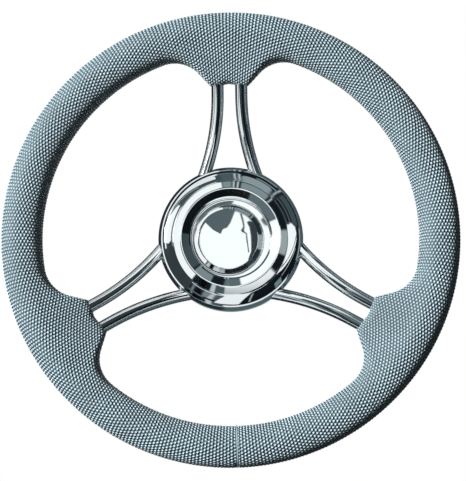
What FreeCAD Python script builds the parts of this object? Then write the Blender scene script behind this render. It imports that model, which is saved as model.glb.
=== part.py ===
import FreeCAD, Part
import math
import os
import Sketcher
from FreeCAD import Placement, Rotation, Vector

# Boat steering wheel with a moulded grip, three pairs of bent rods and a dished hub.
# The frame stands at the middle of the hub's rear face: the shaft runs along +Y,
# the driver's side faces -Y, and the upper spoke points up, along +Z.
# Depths in the sheet are measured forward from that rear face, towards the driver.

SIZES = {
    # grip and ring
    "RingRadius": 159.1,
    "GripRadius": 15.9,
    "CoreBarRadius": 5.0,
    "RimDepth": 38.0,
    # lobes of the grip, one over each pair of rods
    "LobeTip": 117.6,
    "LobeTipHalf": 14.2,
    "LobeTipHollow": 2.0,
    "LobeNose": 8.5,
    "LobeFlankAngle": 43.0,
    "LobeFillet": 25.0,
    # bent rods
    "RodRadius": 4.75,
    "RodSpread": 9.15,
    "RodNear": 39.2,
    "RodDish": 12.9,
    "RodEndGap": 0.3,
    # hub plate and boss
    "PlateRadius": 55.0,
    "PlateThick": 4.0,
    "PlateEdge": 1.0,
    "BossRadius": 22.0,
    "BossFront": 26.0,
    "BossEdge": 1.5,
    "ShaftRadius": 9.525,
    "TaperRatio": 12.0,
    "KeyWidth": 4.76,
    "KeyDepth": 2.4,
    # hub cover, one polished pressing
    "CoverWall": 1.2,
    "CrestWall": 1.5,
    "CoverOverlap": 0.5,
    "TurnDrop": 3.7,
    "TurnInset": 0.5,
    "LipSetback": 2.3,
    "LipDrop": 2.8,
    "LipInset": 0.6,
    "BrowAcrossRatio": 0.46,
    "BrowRiseRatio": 0.88,
    "BrowRoundRatio": 0.95,
    "DishRadius": 44.0,
    "DishDepth": 35.0,
    "DishInset": 0.7,
    "CrestRadius": 38.1,
    "CrestDepth": 38.6,
    "CrestRound": 1.4,
    "FunnelRadius": 31.9,
    "FunnelDepth": 35.8,
    "BeadDrop": 0.6,
    "ShoulderRound": 1.0,
    "HollowRound": 3.0,
    "WellRadius": 30.4,
    "WellDepth": 28.6,
    "WellHole": 21.2,
    "SkirtGap": 0.3,
    "NotchGap": 0.3,
    "NotchLength": 12.0,
    # centre cap and its rubber seat
    "CapRadius": 27.8,
    "CapEdge": 2.1,
    "CapStep": 26.9,
    "CapRimRound": 0.7,
    "CapBevel": 26.3,
    "CapBevelRise": 1.75,
    "CapBevelRound": 0.4,
    "CapShoulder": 23.0,
    "CapShoulderRise": 3.9,
    "CapShoulderRound": 1.2,
    "CapDome": 2.0,
    "CapWall": 1.4,
    "PlugRadius": 17.6,
    "CapShiftX": 2.0,
    "CapShiftZ": 0.9,
    "SeatBlankBore": 14.0,
    "SeatReach": 1.8,
    "SeatLip": 1.0,
    "SeatThick": 1.2,
    "FitGap": 0.1,
    # studs, washers and nuts that hold the cover
    "StudRadius": 2.5,
    "StudInset": 8.0,
    "StudHoleGap": 0.3,
    "StudWeldGap": 0.03,
    "StudBeyond": 1.5,
    "WasherRadius": 5.0,
    "WasherThick": 1.0,
    "NutAcross": 8.0,
    "NutHeight": 4.0,
}
SPOKE_COUNT = 3
SPOKE_STEP = 360.0 / SPOKE_COUNT
FIRST_SPOKE = 90.0
# the grip's lobed surface: sections per third, points on each, and how close they stand at a lobe
THIRD_SECTION_COUNT = 20
LOBE_CROWDING = 0.4
SECTION_POINT_COUNT = 24
SECTION_STEP_COUNT = 24
SMALLEST = 1e-6
# how near an edge has to be to the place where it is looked for
NEAR_ENOUGH = 0.01

doc = FreeCAD.newDocument("steering_wheel")
sheet = doc.addObject("Spreadsheet::Sheet", "sizes")
for row, (alias, value) in enumerate(SIZES.items(), start=1):
    sheet.set("A%d" % row, alias)
    sheet.set("B%d" % row, str(value))
    sheet.setAlias("B%d" % row, alias)
doc.recompute()


def size(alias):
    """One driving dimension, read from the sheet."""
    return float(sheet.get(alias))


def worth(formula):
    """The number that a formula of sheet names gives now."""
    value = sheet.evalExpression(formula)
    return float(getattr(value, "Value", value))


def new_body(label):
    body = doc.addObject("PartDesign::Body", label)
    body.Label = label
    return body


def plane_of(body, role):
    return [item for item in body.Origin.OriginFeatures if item.Role == role][0]


def new_sketch(body, name, role="XY_Plane"):
    sketch = body.newObject("Sketcher::SketchObject", name)
    sketch.AttachmentSupport = (plane_of(body, role), [""])
    sketch.MapMode = "FlatFace"
    return sketch


def pin_point(sketch, geo, pos, across, up):
    """Holds one point of a sketch at a place given by two formulas."""
    for kind, formula in (("DistanceX", across), ("DistanceY", up)):
        index = sketch.addConstraint(
            Sketcher.Constraint(kind, -1, 1, geo, pos, worth(formula)))
        sketch.setExpression("Constraints[%d]" % index, formula)


def arc_about_axis(first, last):
    """Arc through two points with its centre on the vertical axis, and whether it runs backwards."""
    centre_up = (last.x ** 2 + last.y ** 2 - first.x ** 2 - first.y ** 2) / (2 * (last.y - first.y))
    centre = Vector(0, centre_up, 0)
    circle = Part.Circle(centre, Vector(0, 0, 1), (first - centre).Length)
    turns = [math.atan2(point.y - centre_up, point.x) for point in (first, last)]
    return Part.ArcOfCircle(circle, min(turns), max(turns)), turns[0] > turns[1]


def outline(sketch, corners, arcs=()):
    """Closed outline through corners given as formulas; the edges after the arcs' corners are domed."""
    points = [Vector(worth(across), worth(up), 0) for across, up in corners]
    count = len(points)
    ends = []
    for here in range(count):
        after = points[(here + 1) % count]
        if here in arcs:
            arc, backwards = arc_about_axis(points[here], after)
            sketch.addGeometry(arc, False)
            ends.append((2, 1) if backwards else (1, 2))
        else:
            sketch.addGeometry(Part.LineSegment(points[here], after), False)
            ends.append((1, 2))
    for here in range(count):
        after = (here + 1) % count
        sketch.addConstraint(Sketcher.Constraint("Coincident", here, ends[here][1], after, ends[after][0]))
    for here, (across, up) in enumerate(corners):
        pin_point(sketch, here, ends[here][0], across, up)
        if here in arcs:
            sketch.addConstraint(Sketcher.Constraint("PointOnObject", here, 3, -2))


def turned(label, corners, arcs=()):
    """A turned piece: its half section spins about the shaft axis."""
    body = new_body(label)
    sketch = new_sketch(body, label + "_section")
    outline(sketch, corners, arcs)
    spin = body.newObject("PartDesign::Revolution", label + "_spin")
    spin.Profile = sketch
    spin.ReferenceAxis = (sketch, ["V_Axis"])
    spin.Angle = 360
    sketch.Visibility = False
    body.Tip = spin
    # half a turn about Z makes the sheet's forward depths point to -Y
    body.Placement = Placement(Vector(), Rotation(Vector(0, 0, 1), 180))
    doc.recompute()
    return body


def ring_edges(shape, radius, depth):
    """Names of the circular edges of a turned piece at one radius and depth."""
    names = []
    for index, edge in enumerate(shape.Edges, start=1):
        if edge.Degenerated or not isinstance(edge.Curve, Part.Circle):
            continue
        curve = edge.Curve
        off = max(abs(curve.Radius - radius), abs(abs(curve.Center.y) - depth))
        if off < NEAR_ENOUGH:
            names.append("Edge%d" % index)
    return names


def rounded(body, name, places, radius):
    """Rounds the circular edges at the given places of a turned piece."""
    base = body.Tip
    names = []
    for across, up in places:
        names += ring_edges(base.Shape, worth(across), worth(up))
    fillet = body.newObject("PartDesign::Fillet", name)
    fillet.Base = (base, names)
    fillet.setExpression("Radius", radius)
    body.Tip = fillet
    doc.recompute()


# Bent rods: three long rods, each running from one lobe past the hub to the next lobe

TILT = "atan(sizes.RodDish / (sizes.RingRadius * cos(60) + sizes.RodSpread * sin(60) - sizes.RodNear))"
ROD_END = ("(sqrt(sizes.RingRadius ^ 2 - (sizes.RodSpread + sizes.RodRadius) ^ 2)"
           " - sizes.CoreBarRadius - sizes.RodEndGap)")
ROD_END_ACROSS = ROD_END + " * sin(60) - sizes.RodSpread * cos(60)"
ROD_END_UP = ("(" + ROD_END + " * cos(60) + sizes.RodSpread * sin(60) - sizes.RodNear)"
              " / cos(" + TILT + ")")
LEG_ANGLE = "atan(cos(60) / sin(60) / cos(" + TILT + "))"


def spoke_angle(number):
    return FIRST_SPOKE + SPOKE_STEP * number


def from_axis(angle, distance, depth=0.0):
    """A point at an angle round the shaft, as the driver sees it."""
    turn = math.radians(angle)
    return Vector(distance * math.cos(turn), -depth, distance * math.sin(turn))


def rod_placement(number):
    """Puts a rod's flat bend midway between two spokes, tipped back at the hub."""
    middle = spoke_angle(number) + SPOKE_STEP / 2
    lean = math.radians(worth(TILT))
    outward = from_axis(middle, math.cos(lean), math.sin(lean))
    along = from_axis(middle - 90, 1)
    rotation = Rotation(along, outward, along.cross(outward), "XYZ")
    near = from_axis(middle, size("RodNear"), size("RimDepth") - size("RodDish"))
    return Placement(near, rotation)


def rod_bend():
    """A rod's leg angle, the end of its leg, and the bend radius that makes the leg end there."""
    turn = math.radians(worth(LEG_ANGLE))
    far = Vector(worth(ROD_END_ACROSS), worth(ROD_END_UP), 0)
    return turn, far, (far.x * math.sin(turn) - far.y * math.cos(turn)) / (1 - math.cos(turn))


def half_rod_path(body, name):
    """Half of a rod's centre line: half of the long bend past the hub, then a leg."""
    sketch = new_sketch(body, name)
    turn, far, bend = rod_bend()
    touch = Vector(bend * math.sin(turn), bend * (1 - math.cos(turn)), 0)
    circle = Part.Circle(Vector(0, bend, 0), Vector(0, 0, 1), bend)
    sketch.addGeometry(Part.ArcOfCircle(circle, -math.pi / 2, turn - math.pi / 2), False)
    sketch.addGeometry(Part.LineSegment(touch, far), False)
    sketch.addConstraint(Sketcher.Constraint("Coincident", 0, 1, -1, 1))
    sketch.addConstraint(Sketcher.Constraint("PointOnObject", 0, 3, -2))
    sketch.addConstraint(Sketcher.Constraint("Tangent", 0, 2, 1, 1))
    pin_point(sketch, 1, 2, ROD_END_ACROSS, ROD_END_UP)
    index = sketch.addConstraint(Sketcher.Constraint("Angle", 1, turn))
    sketch.setExpression("Constraints[%d]" % index, LEG_ANGLE)
    return sketch


def bent_rod(label, number, radius):
    body = new_body(label)
    path = half_rod_path(body, label + "_path")
    section = new_sketch(body, label + "_section", "YZ_Plane")
    section.addGeometry(Part.Circle(Vector(0, 0, 0), Vector(0, 0, 1), worth(radius)), False)
    section.addConstraint(Sketcher.Constraint("Coincident", 0, 3, -1, 1))
    index = section.addConstraint(Sketcher.Constraint("Radius", 0, worth(radius)))
    section.setExpression("Constraints[%d]" % index, radius)
    doc.recompute()
    pipe = body.newObject("PartDesign::AdditivePipe", label + "_half")
    pipe.Profile = section
    pipe.Spine = path
    body.Tip = pipe
    doc.recompute()
    mirror = body.newObject("PartDesign::Mirrored", label + "_bar")
    mirror.Originals = [pipe]
    mirror.MirrorPlane = (plane_of(body, "YZ_Plane"), [""])
    body.Tip = mirror
    body.Placement = rod_placement(number)
    doc.recompute()
    return body


# Grip: a ring with three lobes, moulded in one piece over the steel inside it

def lobe_inner_edge(angle):
    """Distance from the shaft to the grip's inner edge, at an angle in degrees off a spoke."""
    turn = math.radians(abs(angle))
    ray = Vector(math.sin(turn), math.cos(turn), 0)
    ring_inner = size("RingRadius") - size("GripRadius")
    corner = Vector(size("LobeTipHalf"), size("LobeTip"), 0)
    flank = math.radians(size("LobeFlankAngle"))
    along = Vector(math.sin(flank), math.cos(flank), 0)
    normal = Vector(math.cos(flank), -math.sin(flank), 0)
    fillet = size("LobeFillet")
    # centre of the hollow between flank and ring: one fillet from each
    start = corner + normal * fillet
    reach = start.dot(along)
    step = math.sqrt(reach ** 2 - start.dot(start) + (ring_inner - fillet) ** 2) - reach
    hollow = start + along * step
    flank_end = corner + along * step
    if turn >= math.atan2(hollow.x, hollow.y):
        return ring_inner
    if turn >= math.atan2(flank_end.x, flank_end.y):
        middle = hollow.dot(ray)
        return middle + math.sqrt(middle ** 2 - hollow.dot(hollow) + fillet ** 2)
    if turn >= math.atan2(corner.x, corner.y):
        return normal.dot(corner) / normal.dot(ray)
    # the tip dips between its two rods
    aside = min(corner.y * ray.x / ray.y / size("RodSpread"), 1.0)
    return (corner.y + size("LobeTipHollow") * (1 - aside ** 2) ** 2) / ray.y


def rod_setback(distance):
    """How far a rod lies behind the ring, at a distance from the shaft along a spoke."""
    half_step = math.radians(SPOKE_STEP / 2)
    reach = distance * math.cos(half_step) + size("RodSpread") * math.sin(half_step) - size("RodNear")
    return size("RodDish") - reach * math.tan(math.radians(worth(TILT)))


def grip_section(angle):
    """Closed section of the grip in the plane through the shaft: a round, drawn inward at a lobe."""
    ring_radius = size("RingRadius")
    grip_radius = size("GripRadius")
    inner = lobe_inner_edge(angle)
    lobe_reach = ring_radius - grip_radius - size("LobeTip")
    share = (ring_radius - grip_radius - inner) / lobe_reach
    nose = grip_radius - (grip_radius - size("LobeNose")) * share
    # the nose is centred on the rods, which lean back towards the hub
    across = inner + nose - ring_radius
    up = -rod_setback(inner + nose)
    span = math.hypot(across, up)
    if share > SMALLEST:
        axis = math.atan2(up, across) % (2 * math.pi)
        opening = math.acos((grip_radius - nose) / span)
    else:
        across, up, axis, opening = 0.0, 0.0, math.pi, math.pi / 2
    arcs = (
        (ring_radius, 0.0, grip_radius, 0.0, axis - opening),
        (ring_radius + across, up, nose, axis - opening, axis + opening),
        (ring_radius, 0.0, grip_radius, axis + opening, 2 * math.pi),
    )
    points = []
    for middle, height, radius, first, last in arcs:
        for step in range(SECTION_STEP_COUNT):
            turn = first + (last - first) * step / (SECTION_STEP_COUNT - 1)
            points.append((middle + radius * math.cos(turn), height + radius * math.sin(turn)))
    return evenly_spaced(points[:-1], SECTION_POINT_COUNT)


def evenly_spaced(points, count):
    """The same closed outline through evenly spaced points."""
    closed = points + points[:1]
    lengths = [0.0]
    for first, last in zip(closed, closed[1:]):
        lengths.append(lengths[-1] + math.hypot(last[0] - first[0], last[1] - first[1]))
    result = []
    place = 0
    for number in range(count):
        wanted = lengths[-1] * number / count
        while lengths[place + 1] <= wanted:
            place += 1
        share = (wanted - lengths[place]) / (lengths[place + 1] - lengths[place])
        first, last = closed[place], closed[place + 1]
        result.append((first[0] + (last[0] - first[0]) * share, first[1] + (last[1] - first[1]) * share))
    return result


def section_wire(spoke, angle):
    points = [from_axis(spoke + angle, across, size("RimDepth") + up) for across, up in grip_section(angle)]
    curve = Part.BSplineCurve()
    shares = [number / len(points) for number in range(len(points) + 1)]
    curve.interpolate(Points=points, PeriodicFlag=True, Parameters=shares)
    return Part.Wire([curve.toShape()])


def grip_third(spoke):
    """A third of the grip, with one lobe in its middle; its sections stand closer at the lobe."""
    half_step = SPOKE_STEP / 2
    angles = []
    for number in range(-THIRD_SECTION_COUNT, THIRD_SECTION_COUNT + 1):
        share = number / THIRD_SECTION_COUNT
        angles.append(half_step * (LOBE_CROWDING * share + (1 - LOBE_CROWDING) * share ** 3))
    return Part.makeLoft([section_wire(spoke, angle) for angle in angles], True, False)


def steel_ring():
    ring = doc.addObject("Part::Torus", "rim_core_ring")
    ring.Label = "rim_core_ring"
    ring.setExpression("Radius1", "sizes.RingRadius")
    ring.setExpression("Radius2", "sizes.CoreBarRadius")
    ring.Placement = Placement(Vector(0, -size("RimDepth"), 0), Rotation(Vector(1, 0, 0), 90))
    doc.recompute()
    return ring


def moulded_grip(steel):
    """The grip, with the room that the steel ring and the rods' ends take up inside it."""
    thirds = [grip_third(spoke_angle(number)) for number in range(SPOKE_COUNT)]
    solid = thirds[0].fuse(thirds[1:]).cut([piece.Shape for piece in steel])
    grip = doc.addObject("Part::Feature", "rim_grip")
    grip.Label = "rim_grip"
    grip.Shape = solid
    grip.Placement = Placement()
    return grip


# Hub: a turned boss with a tapered and keyed bore, in a round plate that the rods lie on

PLATE_FRONT = "(sizes.RimDepth - sizes.RodDish - sizes.RodRadius)"
PLATE_BACK = "(" + PLATE_FRONT + " - sizes.PlateThick)"
STUD_CIRCLE = "(sizes.PlateRadius - sizes.StudInset)"


def hub_boss():
    narrow = "sizes.ShaftRadius - sizes.BossFront / sizes.TaperRatio / 2"
    boss = turned("hub_boss", [
        ("sizes.ShaftRadius", "0"),
        ("sizes.BossRadius", "0"),
        ("sizes.BossRadius", "sizes.BossFront"),
        (narrow, "sizes.BossFront"),
    ])
    rounded(boss, "hub_boss_edges", [("sizes.BossRadius", "0"), ("sizes.BossRadius", "sizes.BossFront")],
            "sizes.BossEdge")
    before = boss.Tip.Shape.Volume
    sketch = new_sketch(boss, "keyway_section", "XZ_Plane")
    across = "sizes.KeyWidth / 2"
    up = "sizes.ShaftRadius + sizes.KeyDepth"
    outline(sketch, [("-" + across, "0"), (across, "0"), (across, up), ("-" + across, up)])
    keyway = boss.newObject("PartDesign::Pocket", "keyway")
    keyway.Profile = sketch
    keyway.Type = "ThroughAll"
    keyway.Midplane = True
    boss.Tip = keyway
    doc.recompute()
    must_shrink(boss, before)
    return boss


def hub_plate():
    plate = turned("hub_plate", [
        ("sizes.BossRadius", PLATE_BACK),
        ("sizes.PlateRadius", PLATE_BACK),
        ("sizes.PlateRadius", PLATE_FRONT),
        ("sizes.BossRadius", PLATE_FRONT),
    ])
    rounded(plate, "hub_plate_edge", [("sizes.PlateRadius", PLATE_BACK)], "sizes.PlateEdge")
    before = plate.Tip.Shape.Volume
    sketch = new_sketch(plate, "stud_hole_section", "XZ_Plane")
    radius = "sizes.StudRadius + sizes.StudHoleGap"
    for number in range(SPOKE_COUNT):
        turn = spoke_angle(number)
        across = "-" + STUD_CIRCLE + " * cos(%g)" % turn
        up = STUD_CIRCLE + " * sin(%g)" % turn
        centre = Vector(worth(across), worth(up), 0)
        sketch.addGeometry(Part.Circle(centre, Vector(0, 0, 1), worth(radius)), False)
        pin_point(sketch, number, 3, across, up)
        index = sketch.addConstraint(Sketcher.Constraint("Radius", number, worth(radius)))
        sketch.setExpression("Constraints[%d]" % index, radius)
    holes = plate.newObject("PartDesign::Pocket", "stud_holes")
    holes.Profile = sketch
    holes.Type = "ThroughAll"
    holes.Midplane = True
    plate.Tip = holes
    doc.recompute()
    must_shrink(plate, before)
    return plate


def must_shrink(body, before):
    """A pocket that points away from its solid cuts nothing and shows no error."""
    if body.Tip.Shape.Volume >= before:
        raise RuntimeError("%s cut nothing" % body.Tip.Name)


# Cover: one dished sheet with a skirt, a crest, a funnel and a well for the cap

COVER_RADIUS = "(sizes.PlateRadius + sizes.CoverOverlap)"
LIP_RADIUS = "(" + COVER_RADIUS + " - sizes.LipSetback)"
LIP_DEPTH = "(sizes.DishDepth - sizes.LipDrop)"
COVER_TURN = "(" + LIP_DEPTH + " - sizes.TurnDrop)"
SKIRT_BACK = "(" + PLATE_FRONT + " + sizes.SkirtGap)"
FLOOR_BACK = "(sizes.WellDepth - sizes.CoverWall)"
DISH_INSIDE = "(sizes.DishRadius - sizes.DishInset)"
LIP_INSIDE = "(" + LIP_RADIUS + " - sizes.LipInset)"
# the brow: a wide round that carries the lip over into the dish; the sheet's inner face follows it
BROW_WIDTH = "(" + LIP_RADIUS + " - sizes.DishRadius)"
BROW_RADIUS = "(" + LIP_RADIUS + " - sizes.BrowAcrossRatio * " + BROW_WIDTH + ")"
BROW_DEPTH = "(" + LIP_DEPTH + " + sizes.BrowRiseRatio * sizes.LipDrop)"
OUTER_LEAN = "atan((" + BROW_DEPTH + " - " + LIP_DEPTH + ") / (" + LIP_RADIUS + " - " + BROW_RADIUS + "))"
INNER_LEAN = "atan((sizes.DishDepth - " + BROW_DEPTH + ") / (" + BROW_RADIUS + " - sizes.DishRadius))"
CREST_LEAN = "atan((sizes.CrestDepth - sizes.DishDepth) / (sizes.DishRadius - sizes.CrestRadius))"
BROW_LEAN = "((" + OUTER_LEAN + " + " + INNER_LEAN + ") / 2)"
BROW_BEND = "((" + OUTER_LEAN + " - " + INNER_LEAN + ") / 2)"
# the round takes up what its two flanks have to spare beside the round in the dish
OUTER_FLANK = "(" + LIP_RADIUS + " - " + BROW_RADIUS + ") / cos(" + OUTER_LEAN + ")"
INNER_FLANK = ("(" + BROW_RADIUS + " - sizes.DishRadius) / cos(" + INNER_LEAN + ")"
               " - sizes.HollowRound * tan(abs(" + CREST_LEAN + " - " + INNER_LEAN + ") / 2)")
BROW_ROUND = ("(sizes.BrowRoundRatio * min(" + OUTER_FLANK + "; " + INNER_FLANK + ")"
              " / tan(" + BROW_BEND + "))")
ALONG_BROW = "sin(" + BROW_LEAN + ") / cos(" + BROW_BEND + ")"
UP_BROW = "cos(" + BROW_LEAN + ") / cos(" + BROW_BEND + ")"
BROW_CENTRE = "(" + BROW_RADIUS + " - " + BROW_ROUND + " * " + ALONG_BROW + ")"
BROW_CENTRE_DEPTH = "(" + BROW_DEPTH + " - " + BROW_ROUND + " * " + UP_BROW + ")"
BROW_INSIDE = "(" + BROW_RADIUS + " - sizes.CoverWall * " + ALONG_BROW + ")"
BROW_INSIDE_DEPTH = "(" + BROW_DEPTH + " - sizes.CoverWall * " + UP_BROW + ")"
BROW_INSIDE_ROUND = "(" + BROW_ROUND + " - sizes.CoverWall)"
LIP_INSIDE_DEPTH = ("(" + LIP_DEPTH + " - sizes.CoverWall / cos(" + OUTER_LEAN + ")"
                    " + sizes.LipInset * tan(" + OUTER_LEAN + "))")
DISH_INSIDE_DEPTH = ("(sizes.DishDepth - sizes.CoverWall / cos(" + INNER_LEAN + ")"
                     " + sizes.DishInset * tan(" + INNER_LEAN + "))")


def cover_blank():
    blank = turned("cover_blank", [
        (COVER_RADIUS, SKIRT_BACK),
        (COVER_RADIUS, COVER_TURN),
        (LIP_RADIUS, LIP_DEPTH),
        (BROW_RADIUS, BROW_DEPTH),
        ("sizes.DishRadius", "sizes.DishDepth"),
        ("sizes.CrestRadius", "sizes.CrestDepth"),
        ("sizes.FunnelRadius", "sizes.FunnelDepth"),
        ("sizes.WellRadius", "sizes.FunnelDepth - sizes.BeadDrop"),
        ("sizes.WellRadius", "sizes.WellDepth"),
        ("sizes.WellHole", "sizes.WellDepth"),
        ("sizes.WellHole", FLOOR_BACK),
        ("sizes.WellRadius + sizes.CoverWall", FLOOR_BACK),
        ("sizes.WellRadius + sizes.CoverWall", "sizes.FunnelDepth - sizes.BeadDrop - sizes.CoverWall"),
        ("sizes.CrestRadius", "sizes.CrestDepth - sizes.CrestWall"),
        (DISH_INSIDE, DISH_INSIDE_DEPTH),
        (BROW_INSIDE, BROW_INSIDE_DEPTH),
        (LIP_INSIDE, LIP_INSIDE_DEPTH),
        (COVER_RADIUS + " - sizes.CoverWall", COVER_TURN + " - sizes.TurnInset"),
        (COVER_RADIUS + " - sizes.CoverWall", SKIRT_BACK),
    ])
    rounded(blank, "cover_shoulder", [(COVER_RADIUS, COVER_TURN), (LIP_RADIUS, LIP_DEPTH)],
            "sizes.ShoulderRound")
    rounded(blank, "cover_crest", [("sizes.CrestRadius", "sizes.CrestDepth")], "sizes.CrestRound")
    rounded(blank, "cover_hollow", [("sizes.DishRadius", "sizes.DishDepth")], "sizes.HollowRound")
    rounded(blank, "cover_brow", [(BROW_RADIUS, BROW_DEPTH)], BROW_ROUND)
    rounded(blank, "cover_brow_inside", [(BROW_INSIDE, BROW_INSIDE_DEPTH)], BROW_INSIDE_ROUND)
    return blank


def skirt_crossing(number, side):
    """Where a rod's centre line meets the skirt, on one side of its middle, and its direction there."""
    bend = rod_bend()[2]
    placement = rod_placement(number)
    skirt = worth(COVER_RADIUS) - size("CoverWall") / 2
    near, far = 0.0, rod_bend()[0]
    while far - near > SMALLEST:
        turn = (near + far) / 2
        point = placement.multVec(Vector(side * bend * math.sin(turn), bend * (1 - math.cos(turn)), 0))
        if math.hypot(point.x, point.z) < skirt:
            near = turn
        else:
            far = turn
    along = placement.Rotation.multVec(Vector(side * math.cos(turn), math.sin(turn), 0))
    return point, along


def way_in(number, side):
    """The straight-sided way that lets a rod into its notch from behind."""
    point, along = skirt_crossing(number, side)
    wide = 2 * (size("RodRadius") + size("NotchGap"))
    length = size("NotchLength")
    back = worth(PLATE_BACK)
    level = Vector(along.x, 0, along.z).normalize()
    backward = Vector(0, 1, 0)
    slot = Part.makeBox(wide, length, -point.y - back)
    slot.translate(Vector(-wide / 2, -length / 2, 0))
    slot.Placement = Placement(
        point, Rotation(level.cross(backward), level, backward, "ZYX")).multiply(slot.Placement)
    return slot


def notch_tools():
    """What passes through the skirt: each rod with its clearance, and the way in from behind."""
    tools = []
    for number in range(SPOKE_COUNT):
        tools.append(bent_rod("notch_tool_%d" % (number + 1), number, "sizes.RodRadius + sizes.NotchGap"))
        for side in (-1, 1):
            slot = doc.addObject("Part::Feature", "notch_way_in")
            slot.Shape = way_in(number, side)
            tools.append(slot)
    return tools


def hub_cover():
    blank = cover_blank()
    tools = doc.addObject("Part::MultiFuse", "notch_tools")
    tools.Shapes = notch_tools()
    cover = doc.addObject("Part::Cut", "hub_cover")
    cover.Label = "hub_cover"
    cover.Base = blank
    cover.Tool = tools
    doc.recompute()
    return cover


# Centre cap: a domed button whose plug sits in a rubber seat, a little off the middle

SEAT_TOP = "(sizes.WellDepth + sizes.SeatThick)"
SEAT_BOTTOM = "(" + FLOOR_BACK + " - sizes.SeatLip)"
CAP_TOP = "(" + SEAT_TOP + " + sizes.CapEdge)"
BEVEL_FOOT = "(" + CAP_TOP + " + sizes.CapBevelRise)"
DOME_EDGE = "(" + CAP_TOP + " + sizes.CapShoulderRise)"
DOME_TOP = "(" + DOME_EDGE + " + sizes.CapDome)"
DOME_RADIUS = "((sizes.CapShoulder ^ 2 + sizes.CapDome ^ 2) / (2 * sizes.CapDome))"


def centre_cap():
    bore = "sizes.PlugRadius - sizes.CapWall"
    inside = (DOME_TOP + " - " + DOME_RADIUS
              + " + sqrt((" + DOME_RADIUS + " - sizes.CapWall) ^ 2 - (" + bore + ") ^ 2)")
    cap = turned("centre_cap", [
        (bore, SEAT_BOTTOM),
        ("sizes.PlugRadius", SEAT_BOTTOM),
        ("sizes.PlugRadius", SEAT_TOP),
        ("sizes.CapRadius", SEAT_TOP),
        ("sizes.CapRadius", CAP_TOP),
        ("sizes.CapStep", CAP_TOP),
        ("sizes.CapBevel", BEVEL_FOOT),
        ("sizes.CapShoulder", DOME_EDGE),
        ("0", DOME_TOP),
        ("0", DOME_TOP + " - sizes.CapWall"),
        (bore, inside),
    ], arcs=(7, 9))
    rounded(cap, "cap_rim", [("sizes.CapRadius", CAP_TOP)], "sizes.CapRimRound")
    rounded(cap, "cap_bevel", [("sizes.CapBevel", BEVEL_FOOT)], "sizes.CapBevelRound")
    rounded(cap, "cap_shoulder", [("sizes.CapShoulder", DOME_EDGE)], "sizes.CapShoulderRound")
    cap.Placement = Placement(
        Vector(-size("CapShiftX"), 0, -size("CapShiftZ")), Rotation(Vector(0, 0, 1), 180))
    doc.recompute()
    return cap


def cap_seat_ring():
    neck = "sizes.WellHole - sizes.FitGap"
    wide = "sizes.WellHole + sizes.SeatReach"
    bore = "sizes.PlugRadius + sizes.FitGap"
    ring = turned("cap_seat_ring", [
        ("sizes.SeatBlankBore", SEAT_BOTTOM),
        (wide, SEAT_BOTTOM),
        (wide, FLOOR_BACK),
        (neck, FLOOR_BACK),
        (neck, "sizes.WellDepth"),
        (wide, "sizes.WellDepth"),
        (wide, SEAT_TOP),
        ("sizes.SeatBlankBore", SEAT_TOP),
    ])
    before = ring.Tip.Shape.Volume
    sketch = new_sketch(ring, "plug_hole_section", "XZ_Plane")
    across = "sizes.CapShiftX"
    up = "-sizes.CapShiftZ"
    sketch.addGeometry(Part.Circle(Vector(worth(across), worth(up), 0), Vector(0, 0, 1), worth(bore)), False)
    pin_point(sketch, 0, 3, across, up)
    index = sketch.addConstraint(Sketcher.Constraint("Radius", 0, worth(bore)))
    sketch.setExpression("Constraints[%d]" % index, bore)
    hole = ring.newObject("PartDesign::Pocket", "plug_hole")
    hole.Profile = sketch
    hole.Type = "ThroughAll"
    hole.Midplane = True
    ring.Tip = hole
    doc.recompute()
    must_shrink(ring, before)
    return ring


# Fasteners of the cover: studs welded inside it, with washers and nuts behind the plate

# a stud reaches forward to the brow's inner face at its outer side
STUD_FRONT = ("(" + BROW_CENTRE_DEPTH + " - sizes.StudWeldGap + sqrt(" + BROW_INSIDE_ROUND + " ^ 2"
              " - (" + STUD_CIRCLE + " + sizes.StudRadius - " + BROW_CENTRE + ") ^ 2))")
NUT_FRONT = "(" + PLATE_BACK + " - sizes.WasherThick)"
NUT_BACK = "(" + NUT_FRONT + " - sizes.NutHeight)"
STUD_BACK = "(" + NUT_BACK + " - sizes.StudBeyond)"


def round_bar(name, radius, back, front):
    bar = doc.addObject("Part::Cylinder", name)
    bar.setExpression("Radius", radius)
    bar.setExpression("Height", front + " - " + back)
    return bar


def bored(name, outer, radius, back, front):
    cut = doc.addObject("Part::Cut", name)
    cut.Base = outer
    cut.Tool = round_bar(name + "_hole", radius, back, front)
    return cut


def at_stud(piece, number, back):
    """Stands a fastener on its stud's axis, with its rear end at the given depth."""
    place = from_axis(spoke_angle(number), worth(STUD_CIRCLE), worth(back))
    piece.Placement = Placement(place, Rotation(Vector(1, 0, 0), 90))
    return piece


def fastener_set(label, make, back):
    """Three identical fasteners, one behind each spoke."""
    pieces = [at_stud(make("%s_%d" % (label, number + 1)), number, back) for number in range(SPOKE_COUNT)]
    group = doc.addObject("Part::Compound", label)
    group.Label = label
    group.Links = pieces
    doc.recompute()
    return group


def stud(name):
    return round_bar(name, "sizes.StudRadius", STUD_BACK, STUD_FRONT)


def washer(name):
    disc = round_bar(name + "_disc", "sizes.WasherRadius", NUT_FRONT, PLATE_BACK)
    return bored(name, disc, "sizes.StudRadius + sizes.StudHoleGap", NUT_FRONT, PLATE_BACK)


def nut(name):
    prism = doc.addObject("Part::Prism", name + "_hexagon")
    prism.Polygon = 6
    prism.setExpression("Circumradius", "sizes.NutAcross / 2 / cos(30)")
    prism.setExpression("Height", NUT_FRONT + " - " + NUT_BACK)
    return bored(name, prism, "sizes.StudRadius", NUT_BACK, NUT_FRONT)


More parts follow.
